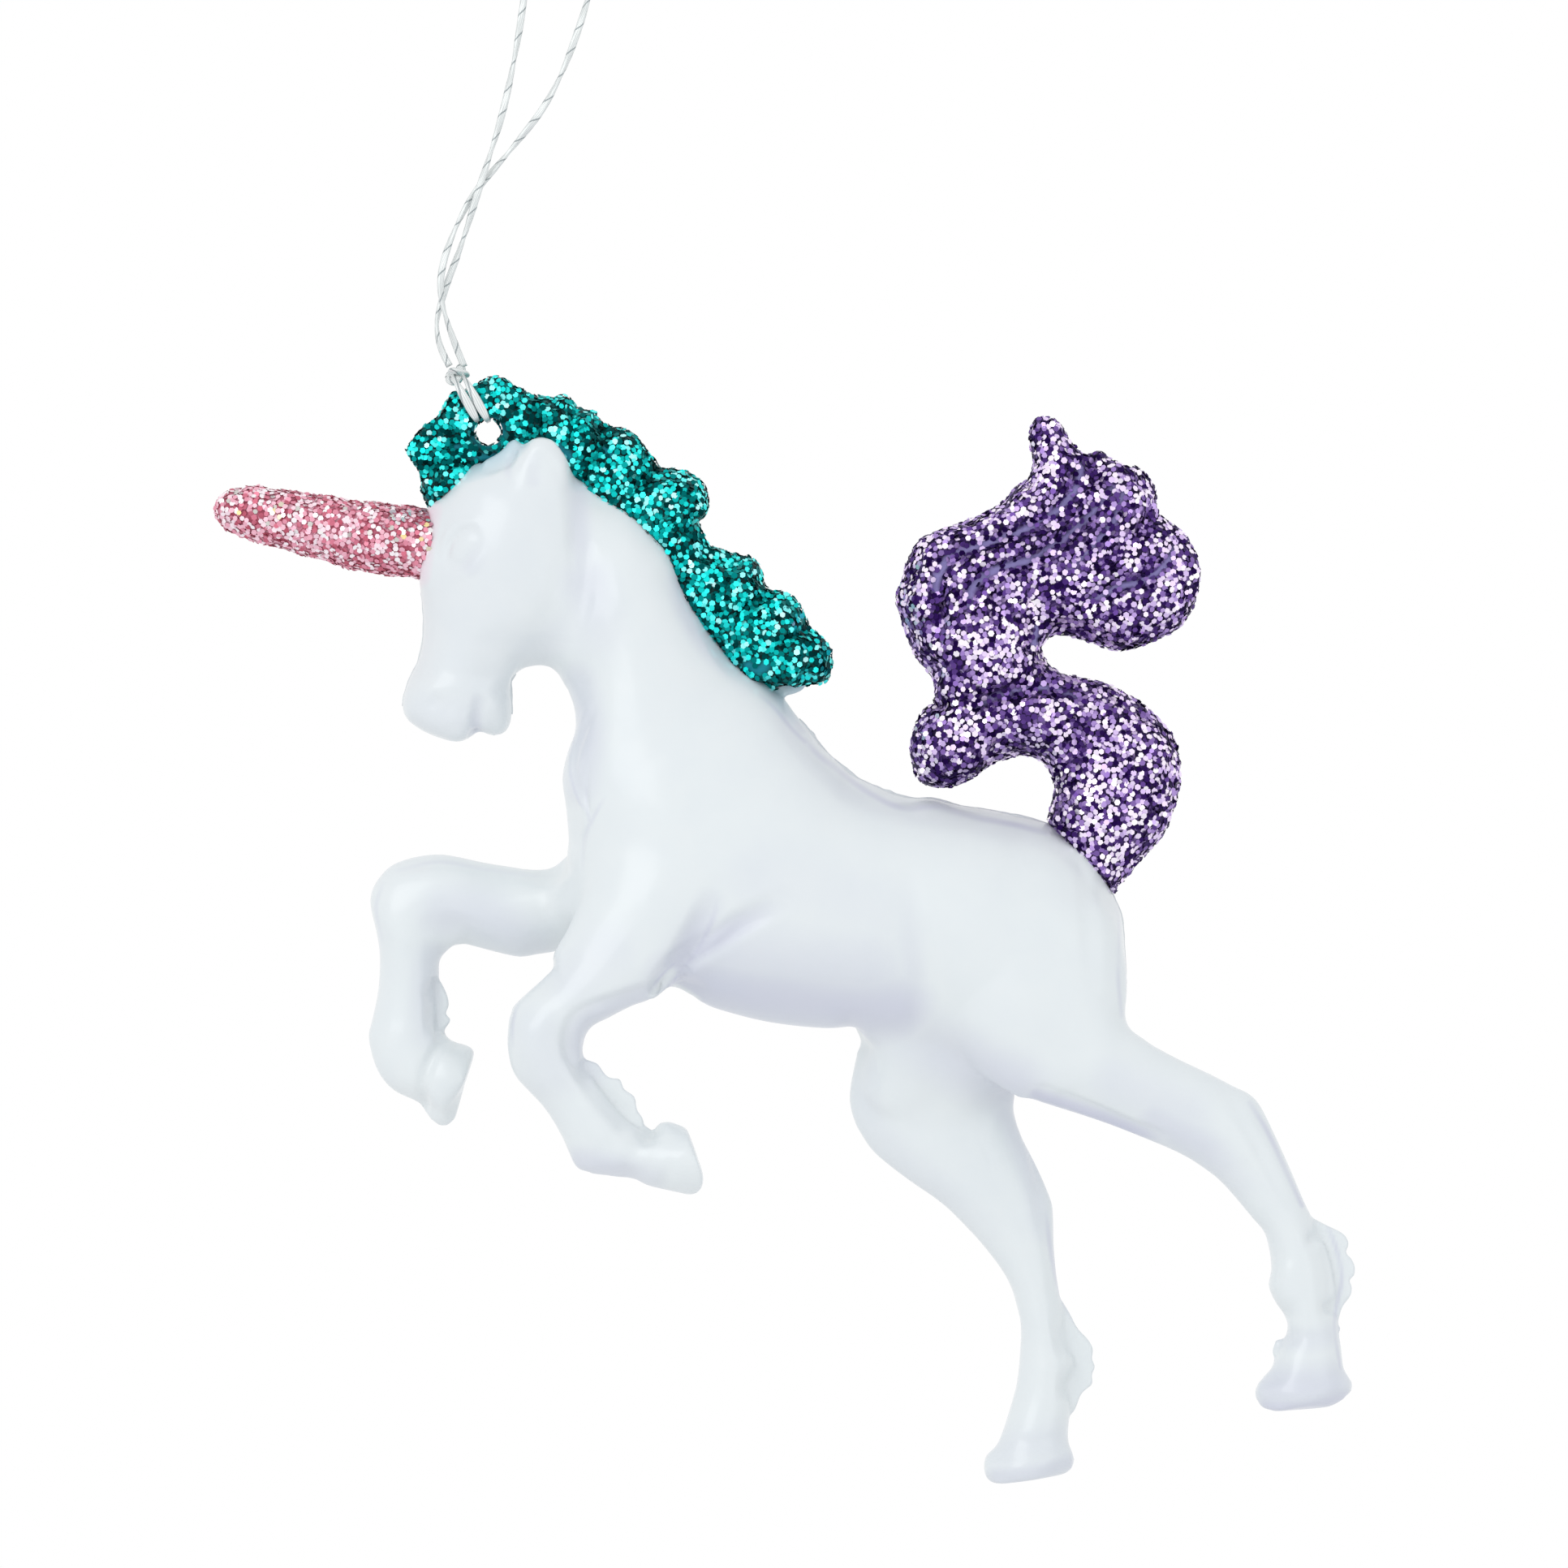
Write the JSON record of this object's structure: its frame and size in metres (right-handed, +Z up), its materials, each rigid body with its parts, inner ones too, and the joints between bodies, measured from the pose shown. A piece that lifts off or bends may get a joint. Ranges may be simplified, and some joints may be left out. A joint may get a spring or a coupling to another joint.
{
  "type": "unicorn figurine",
  "caption": "Moulded prancing unicorn ornament with glittered horn, mane and tail, hung from a cord loop through an eye in its forelock.",
  "frame": {"origin": "crown of the cord loop, where a hook carries it", "axes": "the figure stands upright and faces -X; +X towards the tail, +Y towards its far side, +Z up"},
  "size_m": [0.1052, 0.0189, 0.1675],
  "materials": {
    "white_plastic": "gloss",
    "rose_glitter": "glitter coat",
    "teal_glitter": "glitter coat",
    "violet_glitter": "glitter coat",
    "silver_cord": "metallic braid"
  },
  "bodies": {
    "hanging_cord": {"cord_loop": "silver_cord", "loop_knot": "silver_cord"},
    "hitch": {"cord_hitch": "silver_cord"},
    "figurine": {"left_body_shell": "white_plastic", "right_body_shell": "white_plastic", "horn": "rose_glitter", "mane": "teal_glitter", "tail": "violet_glitter"}
  },
  "joints": [
    {"name": "cord_swing", "type": "hinge", "parent": "hanging_cord", "child": "hitch", "pos_m": [-0.01087, 0, -0.06473], "axis": [1, 0, 0], "range_deg": [-60, 60]},
    {"name": "figure_tilt", "type": "hinge", "parent": "hitch", "child": "figurine", "pos_m": [-0.00802, 0, -0.0699], "axis": [0, -1, 0], "range_deg": [0, 25]}
  ]
}
